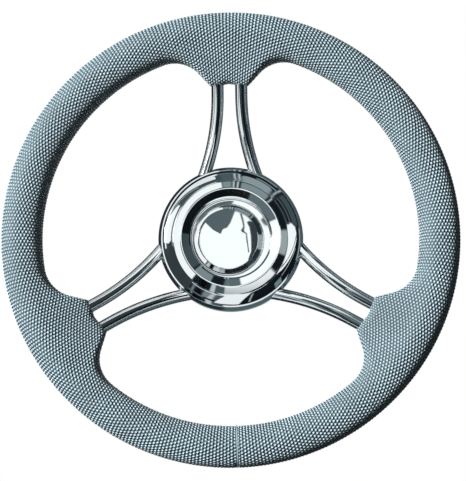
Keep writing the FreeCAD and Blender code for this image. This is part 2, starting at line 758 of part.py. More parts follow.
def check(pieces):
    """Stops if any object failed to rebuild or any finished piece is not a sound solid."""
    for item in doc.Objects:
        if "Invalid" in item.State or "Error" in item.State:
            raise RuntimeError("%s failed to rebuild: %s" % (item.Name, item.State))
    for piece in pieces:
        if piece.Shape.isNull() or not piece.Shape.isValid() or not piece.Shape.Solids:
            raise RuntimeError("%s has no sound solid" % piece.Label)


core_ring = steel_ring()
rods = [bent_rod(label, number, "sizes.RodRadius")
        for number, label in enumerate(("spoke_rod_left", "spoke_rod_lower", "spoke_rod_right"))]
pieces = [moulded_grip([core_ring] + rods), core_ring] + rods
pieces += [hub_boss(), hub_plate(), hub_cover(), centre_cap(), cap_seat_ring()]
pieces += [
    fastener_set("cover_studs", stud, STUD_BACK),
    fastener_set("cover_washers", washer, NUT_FRONT),
    fastener_set("cover_nuts", nut, NUT_BACK),
]
doc.recompute()
check(pieces)

os.makedirs("parts", exist_ok=True)
for piece in pieces:
    piece.Shape.exportStep("parts/%s.step" % piece.Label)
    print("%s: %d solid(s), %.1f cubic mm" % (piece.Label, len(piece.Shape.Solids), piece.Shape.Volume))
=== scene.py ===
import bpy
import math
import numpy as np
from mathutils import Matrix, Quaternion, Vector


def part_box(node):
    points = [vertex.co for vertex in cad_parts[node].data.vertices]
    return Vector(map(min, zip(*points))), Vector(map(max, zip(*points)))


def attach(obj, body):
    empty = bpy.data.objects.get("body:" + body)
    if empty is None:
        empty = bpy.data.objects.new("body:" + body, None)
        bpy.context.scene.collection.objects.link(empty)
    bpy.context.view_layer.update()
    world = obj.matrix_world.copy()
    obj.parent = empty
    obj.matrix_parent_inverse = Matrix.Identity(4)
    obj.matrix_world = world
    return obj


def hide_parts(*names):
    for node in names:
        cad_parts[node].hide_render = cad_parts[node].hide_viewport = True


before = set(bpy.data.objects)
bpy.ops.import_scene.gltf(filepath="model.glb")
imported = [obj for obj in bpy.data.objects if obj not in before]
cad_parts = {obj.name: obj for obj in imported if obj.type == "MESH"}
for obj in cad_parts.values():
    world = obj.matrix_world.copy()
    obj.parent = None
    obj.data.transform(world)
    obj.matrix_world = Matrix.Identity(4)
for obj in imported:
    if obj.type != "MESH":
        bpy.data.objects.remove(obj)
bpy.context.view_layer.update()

mm = 0.001
spokeAngles = (90.0, 210.0, 330.0)  # degrees round the shaft, as the driver sees them
spokeStep = 120.0
halfSpoke = math.radians(spokeStep / 2)


def aroundShaft(angle, distance, forward):
    # a point in metres from a distance and a height towards the driver, both in mm
    turn = math.radians(angle)
    return Vector((distance * math.cos(turn), -forward, distance * math.sin(turn))) * mm


def linearColour(hexCode):
    parts = [int(hexCode[place:place + 2], 16) / 255 for place in (1, 3, 5)]
    return [part / 12.92 if part <= 0.04045 else ((part + 0.055) / 1.055) ** 2.4 for part in parts] + [1.0]


def newMaterial(name):
    material = bpy.data.materials.new(name)
    material.use_nodes = True
    tree = material.node_tree
    return material, tree, tree.nodes["Principled BSDF"]


def addNode(tree, kind, settings=None, links=None, values=None):
    # settings are the node's own; links and values fill its inputs, by their name or number
    node = tree.nodes.new(kind)
    for key, value in (settings or {}).items():
        setattr(node, key, value)
    for key, value in (values or {}).items():
        node.inputs[key].default_value = value
    for key, source in (links or {}).items():
        tree.links.new(source, node.inputs[key])
    return node


def meshPiece(name, points, faces, material, smooth=True):
    mesh = bpy.data.meshes.new(name)
    mesh.from_pydata([tuple(point) for point in points], [], faces)
    mesh.validate()
    mesh.polygons.foreach_set("use_smooth", [smooth] * len(mesh.polygons))
    mesh.materials.append(material)
    piece = bpy.data.objects.new(name, mesh)
    bpy.context.scene.collection.objects.link(piece)
    return piece


def gridFaces(rows, closed):
    # joins rows of points; a row of one point is a pole
    faces = []
    for first, last in zip(rows, rows[1:] + rows[:1] if closed else rows[1:]):
        count = max(len(first), len(last))
        for here in range(count if count > 1 else 0):
            beside = (here + 1) % count
            if len(first) == 1:
                faces.append((first[0], last[beside], last[here]))
            elif len(last) == 1:
                faces.append((first[here], first[beside], last[0]))
            else:
                faces.append((first[here], first[beside], last[beside], last[here]))
    return faces


def dress(node, material):
    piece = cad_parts[node]
    piece.data.materials.clear()
    piece.data.materials.append(material)


# Camera

photo = {
    "width": 466, "height": 481,
    "axisPixel": (230.6, 237.2),                      # where the shaft's line meets the ring's plane
    "mmPerPixel": 0.7619,                             # in that plane
    "azimuth": 0.7, "elevation": -7.7, "roll": 0.5,   # degrees; seen from a little below
    "distance": 1650.0, "sensor": 36.0,               # mm; the distance is guessed
    "clip": (0.05, 50.0),                             # metres
}
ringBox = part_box("rim_core_ring")
ringCentre = (ringBox[0] + ringBox[1]) / 2


def makeCamera():
    longSide = max(photo["width"], photo["height"])
    camera = bpy.data.cameras.new("camera")
    camera.sensor_width = photo["sensor"]
    camera.lens = photo["sensor"] * photo["distance"] / photo["mmPerPixel"] / longSide
    across, down = photo["axisPixel"]
    camera.shift_x = (photo["width"] / 2 - across) / longSide
    camera.shift_y = (down - photo["height"] / 2) / longSide
    camera.clip_start, camera.clip_end = photo["clip"]
    turn, rise = math.radians(photo["azimuth"]), math.radians(photo["elevation"])
    back = Vector((math.sin(turn) * math.cos(rise), -math.cos(turn) * math.cos(rise), math.sin(rise)))
    stand = bpy.data.objects.new("camera", camera)
    stand.location = ringCentre + back * photo["distance"] * mm
    stand.rotation_mode = "QUATERNION"
    aim = (-back).to_track_quat("-Z", "Y")
    stand.rotation_quaternion = aim @ Quaternion((0, 0, 1), math.radians(-photo["roll"]))
    bpy.context.scene.collection.objects.link(stand)
    bpy.context.scene.camera = stand


makeCamera()
print("camera made")


# Materials; sizes in mm

noiseRange = {"From Min": 0.3, "From Max": 0.7}  # where most of a noise lies

# Integral-skin polyurethane, moulded: matt, blue-grey, with painted shade in the hollows between the bumps
# and a painted highlight on their tops
gripFinish = {
    # the hollow colour is painted shade and the top colour a painted highlight, either side of the flank's
    # blue-grey
    "hollow": "#35424A", "flank": "#9AB3BC", "top": "#B9CFD7",
    "levels": (0.1, 0.31, 0.75),       # heights of these three, from the lowest point to the highest
    "cloud": 25.0, "cloudShade": (0.9, 1.08),   # slow change of shade, from the mould and from handling
    "grain": 1 / 3, "grainDepth": 0.05, "grainStrength": 0.12,
    "relief": 1.7,                     # shades the bumps, which the mesh holds in outline
    "roughness": 0.38, "ior": 1.5,
}


def mouldedPolyurethane():
    material, tree, skin = newMaterial("moulded polyurethane, blue-grey")
    lattice = addNode(tree, "ShaderNodeUVMap", {"uv_map": "bumps"})
    parts = addNode(tree, "ShaderNodeSeparateXYZ", links={0: lattice.outputs[0]})

    def wave(source, turns):
        scaled = addNode(tree, "ShaderNodeMath", {"operation": "MULTIPLY"}, {0: source},
                         {1: turns * 2 * math.pi})
        return addNode(tree, "ShaderNodeMath", {"operation": "COSINE"}, {0: scaled.outputs[0]}).outputs[0]

    # three waves at 60 degrees give the close-packed round bumps; their sum runs from -1.5 to 3
    along = wave(parts.outputs["Y"], 1)
    across = wave(parts.outputs["X"], 0.5)
    double = wave(parts.outputs["X"], 1)
    crossed = addNode(tree, "ShaderNodeMath", {"operation": "MULTIPLY"}, {0: along, 1: across})
    height = addNode(tree, "ShaderNodeMath", {"operation": "MULTIPLY_ADD"},
                     {0: crossed.outputs[0], 2: double}, {1: 2.0})
    level = addNode(tree, "ShaderNodeMapRange", links={0: height.outputs[0]},
                    values={"From Min": -1.5, "From Max": 3.0})
    # colour follows the bumps' height: painted shade in the hollows, painted highlight on the tops
    paintedShadingRamp = addNode(tree, "ShaderNodeValToRGB", links={0: level.outputs[0]})
    paintedShadingRamp.color_ramp.elements.new(0.5)
    for element, place, part in zip(paintedShadingRamp.color_ramp.elements, gripFinish["levels"],
                                    ("hollow", "flank", "top")):
        element.position = place
        element.color = linearColour(gripFinish[part])

    spot = addNode(tree, "ShaderNodeTexCoord").outputs["Object"]
    cloud = addNode(tree, "ShaderNodeTexNoise", links={0: spot},
                    values={"Scale": 1 / (gripFinish["cloud"] * mm), "Detail": 3.0})
    darkest, palest = gripFinish["cloudShade"]
    shade = addNode(tree, "ShaderNodeMapRange", links={0: cloud.outputs[0]},
                    values={**noiseRange, "To Min": darkest, "To Max": palest})
    tone = addNode(tree, "ShaderNodeHueSaturation",
                   links={"Color": paintedShadingRamp.outputs[0], "Value": shade.outputs[0]})
    tree.links.new(tone.outputs[0], skin.inputs["Base Color"])

    grain = addNode(tree, "ShaderNodeTexNoise", links={0: spot},
                    values={"Scale": 1 / (gripFinish["grain"] * mm), "Detail": 2.0})
    fine = addNode(tree, "ShaderNodeBump", links={"Height": grain.outputs[0]},
                   values={"Strength": gripFinish["grainStrength"],
                           "Distance": gripFinish["grainDepth"] * mm})
    relief = addNode(tree, "ShaderNodeBump", links={"Height": level.outputs[0], "Normal": fine.outputs[0]},
                     values={"Strength": 1.0, "Distance": gripFinish["relief"] * mm})
    tree.links.new(relief.outputs[0], skin.inputs["Normal"])
    skin.inputs["Roughness"].default_value = gripFinish["roughness"]
    skin.inputs["IOR"].default_value = gripFinish["ior"]
    return material


# Stainless steel, mirror polished: cool white metal, with faint buffing marks and a little haze in places
polish = {
    "colour": "#D6DCDE", "roughness": 0.035,
    "haze": 0.075, "hazePatch": 100 / 3, "hazeRange": {"From Min": 0.35, "From Max": 0.75},
    "markWidth": 0.8, "markDepth": 0.01, "markStrength": 0.02,   # real marks are finer, drawn to show
}


def polishedStainless():
    material, tree, skin = newMaterial("stainless steel, mirror polished")
    spot = addNode(tree, "ShaderNodeTexCoord").outputs["Object"]
    haze = addNode(tree, "ShaderNodeTexNoise", links={0: spot},
                   values={"Scale": 1 / (polish["hazePatch"] * mm), "Detail": 3.0})
    rough = addNode(tree, "ShaderNodeMapRange", links={0: haze.outputs[0]},
                    values={**polish["hazeRange"], "To Min": polish["roughness"], "To Max": polish["haze"]})
    tree.links.new(rough.outputs[0], skin.inputs["Roughness"])
    marks = addNode(tree, "ShaderNodeTexNoise", links={0: spot},
                    values={"Scale": 1 / (polish["markWidth"] * mm), "Detail": 2.0})
    bump = addNode(tree, "ShaderNodeBump", links={"Height": marks.outputs[0]},
                   values={"Strength": polish["markStrength"], "Distance": polish["markDepth"] * mm})
    tree.links.new(bump.outputs[0], skin.inputs["Normal"])
    skin.inputs["Base Color"].default_value = linearColour(polish["colour"])
    skin.inputs["Metallic"].default_value = 1.0
    return material


# Stainless steel, turned on a lathe: satin, with rings left by the tool, or the grooves of a thread
satin = {"roughness": (0.24, 0.38), "stainPatch": 50 / 3, "grooveStrength": 0.25}
turning = {"colour": "#B4B8B9", "ringStep": 0.8, "ringDepth": 0.03}  # the real feed is 0.15, drawn to show
thread = {"colour": "#A9ADAE", "ringStep": 0.8, "ringDepth": 0.35}   # M5 thread


def turnedStainless(name, marks, lengthwise=False):
    # rings round the shaft's line, or grooves one after the other along it
    material, tree, skin = newMaterial(name)
    spot = addNode(tree, "ShaderNodeTexCoord").outputs["Object"]
    parts = addNode(tree, "ShaderNodeSeparateXYZ", links={0: spot})
    flat = addNode(tree, "ShaderNodeCombineXYZ", links={0: parts.outputs["X"], 1: parts.outputs["Z"]})
    reach = addNode(tree, "ShaderNodeVectorMath", {"operation": "LENGTH"}, {0: flat.outputs[0]})
    source = parts.outputs["Y"] if lengthwise else reach.outputs["Value"]
    rings = addNode(tree, "ShaderNodeMath", {"operation": "MULTIPLY"}, {0: source},
                    {1: 2 * math.pi / (marks["ringStep"] * mm)})
    wave = addNode(tree, "ShaderNodeMath", {"operation": "SINE"}, {0: rings.outputs[0]})
    bump = addNode(tree, "ShaderNodeBump", links={"Height": wave.outputs[0]},
                   values={"Strength": satin["grooveStrength"], "Distance": marks["ringDepth"] * mm})
    tree.links.new(bump.outputs[0], skin.inputs["Normal"])
    stain = addNode(tree, "ShaderNodeTexNoise", links={0: spot},
                    values={"Scale": 1 / (satin["stainPatch"] * mm), "Detail": 3.0})
    smoothest, roughest = satin["roughness"]
    rough = addNode(tree, "ShaderNodeMapRange", links={0: stain.outputs[0]},
                    values={**noiseRange, "To Min": smoothest, "To Max": roughest})
    tree.links.new(rough.outputs[0], skin.inputs["Roughness"])
    skin.inputs["Base Color"].default_value = linearColour(marks["colour"])
    skin.inputs["Metallic"].default_value = 1.0
    return material


# Nitrile rubber, moulded: near black, with a dusty sheen
seatFinish = {
    "colour": "#1B1C1D", "roughness": 0.62, "ior": 1.52,
    "grain": 2 / 3, "grainDepth": 0.05, "grainStrength": 0.3,
}


def mouldedRubber():
    material, tree, skin = newMaterial("nitrile rubber, moulded")
    spot = addNode(tree, "ShaderNodeTexCoord").outputs["Object"]
    grain = addNode(tree, "ShaderNodeTexNoise", links={0: spot},
                    values={"Scale": 1 / (seatFinish["grain"] * mm), "Detail": 3.0})
    bump = addNode(tree, "ShaderNodeBump", links={"Height": grain.outputs[0]},
                   values={"Strength": seatFinish["grainStrength"],
                           "Distance": seatFinish["grainDepth"] * mm})
    tree.links.new(bump.outputs[0], skin.inputs["Normal"])
    skin.inputs["Base Color"].default_value = linearColour(seatFinish["colour"])
    skin.inputs["Roughness"].default_value = seatFinish["roughness"]
    skin.inputs["IOR"].default_value = seatFinish["ior"]
    return material


gripSkin = mouldedPolyurethane()
mirrorSteel = polishedStainless()
turnedSteel = turnedStainless("stainless steel, turned", turning)
threadedSteel = turnedStainless("stainless steel, threaded", thread, lengthwise=True)
rubber = mouldedRubber()
print("materials made")


# Grip: rows of round bumps on a ring with three lobes

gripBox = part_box("rim_grip")
barRadius = (ringBox[1].y - ringBox[0].y) / 2 / mm
ringRadius = (ringBox[1].x - ringBox[0].x) / 2 / mm - barRadius
grip = {
    "radius": (gripBox[1].x - gripBox[0].x) / 2 / mm - ringRadius,
    "depth": -ringCentre.y / mm,
    "lobeTip": 117.6, "lobeTipHalf": 14.2,   # the tip's distance from the shaft, and half its width
    "lobeNose": 8.5,                         # the tip's half thickness
    "flankAngle": 43.0, "flankFillet": 25.0,
    "tipHollow": 2.0,                        # the tip dips between its two rods
    "rodSpread": 9.15,                       # half the way from one rod to the other in a lobe
    "rodNear": 39.2, "rodDish": 12.9,        # where a rod passes the hub: from the shaft, behind the ring
    "columns": 406,                          # columns of bumps round the wheel
    "bumpStep": 2.75, "bumpHeight": 0.34,    # from bump to bump within a column
    "lastGap": 0.35,                         # least share of a row left before the nose
    "seamColumn": 409, "seamRecess": 1.6,    # counted in half columns; how far it lies under the strip
}
tiltSlope = grip["rodDish"] / (ringRadius * math.cos(halfSpoke)
                               + grip["rodSpread"] * math.sin(halfSpoke) - grip["rodNear"])
straightShare = 1e-6  # less than this share of a lobe is plain ring


def innerEdge(offSpoke):
    # distance from the shaft to the grip's inner edge, at an angle in degrees off a spoke
    turn = math.radians(abs(offSpoke))
    ray = Vector((math.sin(turn), math.cos(turn)))
    ringInner = ringRadius - grip["radius"]
    corner = Vector((grip["lobeTipHalf"], grip["lobeTip"]))
    flank = math.radians(grip["flankAngle"])
    along = Vector((math.sin(flank), math.cos(flank)))
    normal = Vector((math.cos(flank), -math.sin(flank)))
    fillet = grip["flankFillet"]
    start = corner + normal * fillet
    reach = start.dot(along)
    step = math.sqrt(reach ** 2 - start.dot(start) + (ringInner - fillet) ** 2) - reach
    hollow = start + along * step
    flankEnd = corner + along * step
    if turn >= math.atan2(hollow.x, hollow.y):
        return ringInner
    if turn >= math.atan2(flankEnd.x, flankEnd.y):  # fillet
        middle = hollow.dot(ray)
        return middle + math.sqrt(middle ** 2 - hollow.dot(hollow) + fillet ** 2)
    if turn >= math.atan2(corner.x, corner.y):      # straight flank
        return normal.dot(corner) / normal.dot(ray)
    aside = min(corner.y * ray.x / ray.y / grip["rodSpread"], 1.0)
    return (corner.y + grip["tipHollow"] * (1 - aside ** 2) ** 2) / ray.y


def gripSection(angle):
    # the section's round nose from the big round's middle, its radius and direction, and half its opening
    offSpokes = [(angle - spoke + 180) % 360 - 180 for spoke in spokeAngles]
    inner = innerEdge(min(offSpokes, key=abs))
    big = grip["radius"]
    share = (ringRadius - big - inner) / (ringRadius - big - grip["lobeTip"])
    nose = big - (big - grip["lobeNose"]) * share
    if share < straightShare:
        return 0.0, 0.0, big, math.pi, math.pi / 2
    reach = (inner + nose) * math.cos(halfSpoke) + grip["rodSpread"] * math.sin(halfSpoke) - grip["rodNear"]
    across = inner + nose - ringRadius
    up = reach * tiltSlope - grip["rodDish"]
    axis = math.atan2(up, across) % (2 * math.pi)
    return across, up, nose, axis, math.acos((big - nose) / math.hypot(across, up))


def sidePath(section, side):
    # walks a section from its outermost point to its nose; side is 1 in front and -1 behind
    across, up, nose, axis, opening = section
    big = grip["radius"]
    first = axis - opening if side > 0 else 2 * math.pi - axis - opening
    start = Vector((big * math.cos(first), side * big * math.sin(first)))
    end = Vector((across + nose * math.cos(first), up + side * nose * math.sin(first)))
    run = (end - start).length

    def at(length):
        if length <= big * first:
            turn = length / big
            middle, radius = Vector((0.0, 0.0)), big
        elif length <= big * first + run:
            share = (length - big * first) / run
            return start.lerp(end, share), Vector((math.cos(first), side * math.sin(first)))
        else:
            turn = first + (length - big * first - run) / nose
            middle, radius = Vector((across, up)), nose
        normal = Vector((math.cos(turn), side * math.sin(turn)))
        return middle + normal * radius, normal

    return at, big * first + run + nose * opening


def gripColumn(number, points, marks):
    # adds one column's points and their places among the bumps; gives their ids, in front and behind
    halfBump = grip["bumpStep"] / 2
    angle = 90.0 + 180.0 * number / grip["columns"]
    section = gripSection(angle)
    sides = []
    for side in (1, -1):
        at, length = sidePath(section, side)
        rows = max(int(length / halfBump - grip["lastGap"]), 1)
        ids = []
        for row in range(rows + 2):
            if side < 0 and row in (0, rows + 1):
                ids.append(sides[0][0 if row == 0 else -1])
                continue
            walked = row * halfBump if row <= rows else length
            spot, normal = at(walked)
            # full columns hold the bumps, every second one half a step on
            raised = number % 2 == 0 and (row + number // 2) % 2 == 0 and row <= rows
            if not raised:
                spot = spot - normal * grip["bumpHeight"]
            if number == grip["seamColumn"]:
                spot = spot - normal * grip["seamRecess"]
            ids.append(len(points))
            points.append(aroundShaft(angle, ringRadius + spot.x, grip["depth"] + spot.y))
            marks.append((number / 2, side * walked / grip["bumpStep"]))
        sides.append(ids)
    return sides


def cellsBetween(left, right, number):
    # triangles between two columns, every cell split from its bump's top
    common = min(len(left), len(right)) - 1
    cells = []
    for row in range(common):
        bumpBelow = (row + (number + 1) // 2) % 2 == 0
        if bumpBelow == (number % 2 == 0):
            cells.append((left[row], right[row], right[row + 1]))
            cells.append((left[row], right[row + 1], left[row + 1]))
        else:
            cells.append((left[row], right[row], left[row + 1]))
            cells.append((right[row], right[row + 1], left[row + 1]))
    cells += [(left[row], right[common], left[row + 1]) for row in range(common, len(left) - 1)]
    cells += [(left[common], right[row], right[row + 1]) for row in range(common, len(right) - 1)]
    return [cell for cell in cells if len(set(cell)) == 3]


def bumpedGrip():
    halfColumns = grip["columns"] * 2
    points, faces, marks = [], [], []
    columns = [gripColumn(number, points, marks) for number in range(halfColumns)]
    for number, (front, behind) in enumerate(columns):
        nextFront, nextBehind = columns[(number + 1) % halfColumns]
        faces += cellsBetween(front, nextFront, number)
        faces += [cell[::-1] for cell in cellsBetween(behind, nextBehind, number)]
    piece = meshPiece("grip_with_bumps", points, faces, gripSkin)
    layer = piece.data.uv_layers.new(name="bumps")
    for polygon in piece.data.polygons:
        ids = [piece.data.loops[corner].vertex_index for corner in polygon.loop_indices]
        wraps = max(marks[point][0] for point in ids) - min(marks[point][0] for point in ids) > 2
        for corner, point in zip(polygon.loop_indices, ids):
            column, row = marks[point]
            layer.data[corner].uv = (column + grip["columns"] if wraps and column < 1 else column, row)
    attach(piece, "root")
    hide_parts("rim_grip")
    return piece


gripPiece = bumpedGrip()
print("grip made:", len(gripPiece.data.polygons), "triangles")


# Mould seam: a narrow strip round the grip at the bottom, level with the bumps

strip = {
    "width": 0.95, "depth": 2.0, "step": 0.5,
    "below": 0.1,                     # its face lies this far under the tops of the bumps
    "nib": 0.7, "nibHalf": 1.2,       # height and half length of the nib at the inner edge
    "flankSpot": (0.3, 0.25),         # a place among the bumps coloured near the flank, with a little of the hollows' painted shade
}


def seamStrip():
    angle = 90.0 + 180.0 * grip["seamColumn"] / grip["columns"]
    half = math.degrees(strip["width"] / 2 / ringRadius)
    section = gripSection(angle)
    front, frontLength = sidePath(section, 1)
    behind, behindLength = sidePath(section, -1)
    # round the section once: each place, its normal and how far it is from the nose
    walk = [(front(length), frontLength - length)
            for length in np.arange(0, frontLength, strip["step"])]
    walk += [(behind(length), behindLength - length)
             for length in np.arange(behindLength, 0, -strip["step"])]
    points, rows = [], []
    for (spot, normal), fromNose in walk:
        top = -strip["below"] + (strip["nib"] if fromNose < strip["nibHalf"] else 0.0)
        rows.append([])
        for side, height in ((-1, -strip["depth"]), (-1, top), (1, top), (1, -strip["depth"])):
            place = spot + normal * height
            rows[-1].append(len(points))
            points.append(aroundShaft(angle + side * half, ringRadius + place.x, grip["depth"] + place.y))
    piece = meshPiece("grip_seam", points, gridFaces(rows, True), gripSkin, smooth=False)
    layer = piece.data.uv_layers.new(name="bumps")
    layer.data.foreach_set("uv", strip["flankSpot"] * len(piece.data.loops))
    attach(piece, "root")


seamStrip()
print("seam made")


# Mirror-polished pieces: fine meshes with true normals, so that what they mirror has clean edges

fineness = {"roundStep": 4.0, "columns": 300, "tubeSides": 48, "bendSteps": 96}  # roundStep in degrees


def polishedPiece(name, node, points, normals, faces):
    piece = meshPiece(name, points, faces, mirrorSteel)
    piece.data.normals_split_custom_set_from_vertices([tuple(normal) for normal in normals])
    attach(piece, "root")
    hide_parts(node)


def roundedSection(corners):
    # points of a closed section with rounded corners, each with its outward normal
    section = []
    for number, (radius, depth, fillet) in enumerate(corners):
        here = Vector((radius, depth))
        before, after = corners[number - 1], corners[(number + 1) % len(corners)]
        if radius == 0:
            section.append((here, Vector((0, 1 if before[0] > 0 else -1))))
            continue
        comes = (here - Vector(before[:2])).normalized()
        goes = (Vector(after[:2]) - here).normalized()
        turn = math.atan2(comes.cross(goes), comes.dot(goes))
        side = math.copysign(fillet, turn)
        reach = fillet * math.tan(abs(turn) / 2)
        first = Vector((comes.y, -comes.x))
        centre = here - comes * reach - first * side
        steps = math.ceil(math.degrees(abs(turn)) / fineness["roundStep"]) + 1 if fillet else 0
        for step in range(steps + 1):
            share = step / steps if steps else 0.5
            normal = Matrix.Rotation(turn * share, 2) @ first
            section.append((centre + normal * side if steps else here, normal))
    return section


def turnedPiece(name, node, corners, angles, middle, lift=None):
    # lift says how far a point stands forward of its section; there the normal is left to the mesh
    points, normals, rows = [], [], []
    for spot, normal in roundedSection(corners):
        rows.append([])
        for angle in (angles if spot.x else angles[:1]):
            raised = lift(angle, spot) if lift else 0.0
            rows[-1].append(len(points))
            points.append(middle + aroundShaft(angle, spot.x, spot.y + raised))
            normals.append(Vector() if raised else aroundShaft(angle, normal.x, normal.y).normalized())
    polishedPiece(name, node, points, normals, gridFaces(rows, True))


# Rods: each bends past the hub and runs straight into a lobe at either end

rod = {"radius": 4.75, "endGap": 0.3}  # the gap is to the ring inside the grip
rodLean = math.atan(tiltSlope)
rodEnd = math.sqrt(ringRadius ** 2 - (grip["rodSpread"] + rod["radius"]) ** 2) - barRadius - rod["endGap"]
# half a rod lies in its own plane: its far end, the angle it bends through and the bend's radius
rodFar = Vector((rodEnd * math.sin(halfSpoke) - grip["rodSpread"] * math.cos(halfSpoke),
                 (rodEnd * math.cos(halfSpoke) + grip["rodSpread"] * math.sin(halfSpoke)
                  - grip["rodNear"]) / math.cos(rodLean)))
rodTurn = math.atan(1 / math.tan(halfSpoke) / math.cos(rodLean))
rodBend = (rodFar.x * math.sin(rodTurn) - rodFar.y * math.cos(rodTurn)) / (1 - math.cos(rodTurn))


def rodFrame(spoke):
    # middle of the bend, the way along it, outward, and square to both
    middle = spoke + spokeStep / 2
    near = aroundShaft(middle, grip["rodNear"], grip["depth"] - grip["rodDish"]) / mm
    outward = aroundShaft(middle, math.cos(rodLean), math.sin(rodLean)) / mm
    along = aroundShaft(middle - 90, 1, 0) / mm
    return near, along, outward, along.cross(outward)


def bentRod(name, spoke):
    near, along, outward, across = rodFrame(spoke)
    turns = np.linspace(-rodTurn, rodTurn, fineness["bendSteps"] + 1)
    line = [(rodBend * math.sin(turn), rodBend * (1 - math.cos(turn)), turn) for turn in turns]
    line = [(-rodFar.x, rodFar.y, -rodTurn)] + line + [(rodFar.x, rodFar.y, rodTurn)]
    points, normals, rows = [], [], []
    for x, y, turn in line:
        inward = outward * math.cos(turn) - along * math.sin(turn)
        rows.append([])
        for side in range(fineness["tubeSides"]):
            angle = 2 * math.pi * side / fineness["tubeSides"]
            normal = inward * math.cos(angle) + across * math.sin(angle)
            rows[-1].append(len(points))
            points.append((near + along * x + outward * y + normal * rod["radius"]) * mm)
            normals.append(normal)
    faces = gridFaces(rows, False) + [tuple(rows[0][::-1]), tuple(rows[-1])]
    polishedPiece(name + "_polished", name, points, normals, faces)


for name, spoke in zip(("spoke_rod_left", "spoke_rod_lower", "spoke_rod_right"), spokeAngles):
    bentRod(name, spoke)
print("rods made")


# Hub cover: a dished pressing; each corner of its section is radius, depth and round in mm

cover = {
    "rear": 20.65,
    "clearance": 5.05, "notchReach": 6.0,    # round each rod, and how far along it a notch can lie
    "rearZone": 0.5, "searchStep": 0.05,     # only points this near the rear edge are notched; degrees
    "section": [
        (55.5, 20.65, 0.15), (55.5, 28.5, 1.0), (53.2, 32.2, 1.0),                       # skirt
        (48.97, 34.66, 17.2), (44.0, 35.0, 3.0), (38.1, 38.6, 1.4), (31.9, 35.8, 0.4),   # brow to funnel
        (30.4, 35.2, 0.5), (30.4, 28.6, 0.4), (21.2, 28.6, 0.15),                        # well
        (21.2, 27.4, 0.15), (31.6, 27.4, 0.3), (31.6, 34.0, 0.3), (38.1, 37.1, 0.3),     # and back inside
        (43.3, 33.85, 0.3), (48.61, 33.49, 15.9), (52.6, 31.16, 0.2), (54.3, 28.0, 0.3),
        (54.3, 20.65, 0.15)],
}


def notchPlaces():
    # where the rods cross the skirt: the spot and direction in plan, the depth there and its slope
    places = []
    skirt = (cover["section"][0][0] + cover["section"][-1][0]) / 2
    for spoke in spokeAngles:
        near, along, outward, across = rodFrame(spoke)
        for side in (-1, 1):
            low, high = 0.0, rodTurn
            for halving in range(40):
                turn = (low + high) / 2
                spot = (near + along * side * rodBend * math.sin(turn)
                        + outward * rodBend * (1 - math.cos(turn)))
                if math.hypot(spot.x, spot.z) < skirt:
                    low = turn
                else:
                    high = turn
            way = along * side * math.cos(turn) + outward * math.sin(turn)
            plan = Vector((way.x, way.z))
            places.append((Vector((spot.x, spot.z)), plan.normalized(), -spot.y, -way.y / plan.length))
    return places


notches = notchPlaces()


def overRods(angle, spot):
    # how far the skirt's rear edge stands forward to let the rods out
    if spot.y > cover["rear"] + cover["rearZone"]:
        return 0.0
    turn = math.radians(angle)
    here = Vector((math.cos(turn), math.sin(turn))) * spot.x
    for centre, way, depth, slope in notches:
        ahead = (here - centre).dot(way)
        aside = abs((here - centre).cross(way))
        if aside < cover["clearance"] and abs(ahead) < cover["notchReach"]:
            return depth + slope * ahead + math.sqrt(cover["clearance"] ** 2 - aside ** 2) - spot.y
    return 0.0


def coverAngles():
    # even columns, and two more at each side of every notch
    angles = {360 * column / fineness["columns"] for column in range(fineness["columns"])}
    tried = np.arange(0, 360, cover["searchStep"])
    for radius, rear, fillet in (cover["section"][0], cover["section"][-1]):
        notched = [overRods(angle, Vector((radius, rear))) > 0 for angle in tried]
        for place in range(len(tried)):
            if notched[place] != notched[place - 1]:
                angles |= {float(tried[place]), float(tried[place - 1]) % 360}
    return sorted(angles)


turnedPiece("cover_polished", "hub_cover", cover["section"], coverAngles(), Vector(), overRods)
print("cover made")


# Centre cap: a domed button with a bevelled edge, on a plug

cap = {
    "shoulder": 23.0, "domeEdge": 35.8, "domeRise": 2.0, "edgeRound": 1.2, "domeSteps": 12,
    "wall": 1.4, "plugBore": 16.2,
    "foot": [(16.2, 26.4, 0.15), (17.6, 26.4, 0.15), (17.6, 29.8, 0.15), (27.8, 29.8, 0.2),
             (27.8, 31.9, 0.7), (26.9, 31.9, 0.2), (26.3, 33.65, 0.4)],
}
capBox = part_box("centre_cap")
capMiddle = Vector(((capBox[0].x + capBox[1].x) / 2, 0, (capBox[0].z + capBox[1].z) / 2))
capDome = (cap["shoulder"] ** 2 + cap["domeRise"] ** 2) / (2 * cap["domeRise"])  # the dome's radius


def capSection():
    top = cap["domeEdge"] + cap["domeRise"]
    steps = cap["domeSteps"]
    outside = [cap["shoulder"] * (1 - step / steps) for step in range(1, steps)]
    inside = [cap["plugBore"] * step / steps for step in range(1, steps + 1)]
    skin = capDome - cap["wall"]
    return (cap["foot"] + [(cap["shoulder"], cap["domeEdge"], cap["edgeRound"])]
            + [(reach, top - capDome + math.sqrt(capDome ** 2 - reach ** 2), 0) for reach in outside]
            + [(0, top, 0), (0, top - cap["wall"], 0)]
            + [(reach, top - capDome + math.sqrt(skin ** 2 - reach ** 2), 0) for reach in inside])


capAngles = [360 * column / fineness["columns"] for column in range(fineness["columns"])]
turnedPiece("cap_polished", "centre_cap", capSection(), capAngles, capMiddle)
print("cap made")


# Other steel and rubber pieces keep their solids

for node in ("rim_core_ring", "hub_boss", "hub_plate", "cover_washers", "cover_nuts"):
    dress(node, turnedSteel)
dress("cover_studs", threadedSteel)
dress("cap_seat_ring", rubber)
print("steel dressed")


# Studio: pale floor, soft lamps, and what polished steel mirrors

studio = {
    "floorLevel": -0.62, "floorSize": 30.0, "domeRadius": 0.9,   # metres
    "floorColour": "#F2F2F0", "floorRoughness": 0.7,
    "domeStep": 1.0, "domeShade": 0.012,   # degrees; grey level between the panels
    "worldGlow": 0.045,                    # even light on matt pieces from all round
}


